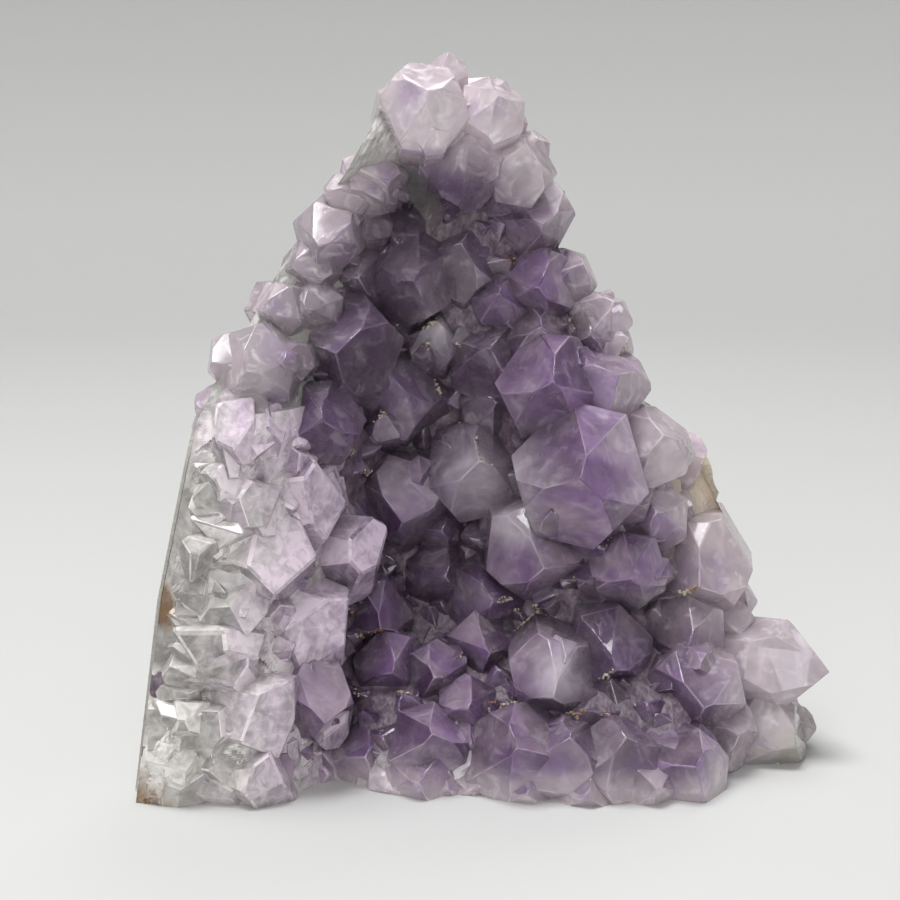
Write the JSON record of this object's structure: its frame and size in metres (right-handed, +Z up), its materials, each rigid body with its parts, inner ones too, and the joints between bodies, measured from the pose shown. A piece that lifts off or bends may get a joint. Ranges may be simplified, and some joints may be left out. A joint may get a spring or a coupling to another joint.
{
  "type": "amethyst geode",
  "caption": "Free-standing chunk of geode wall on a flat sawn foot, its concave face lined with purple quartz crystals and its back skinned with host rock.",
  "frame": {"origin": "middle of the whole piece's box, at the level of the flat sawn foot", "axes": "+Z up, -Y towards the viewer of the crystal-lined face, +X to that viewer's right"},
  "size_m": [0.1084, 0.0589, 0.1112],
  "materials": {
    "amethyst": "natural crystal faces, see-through purple to clear, milky at the roots",
    "host_rock": "rough matt grey-brown rock with cream and rust patches"
  },
  "bodies": {
    "root": {"amethyst_druse": "amethyst", "host_rock_rind": "host_rock"}
  },
  "joints": []
}
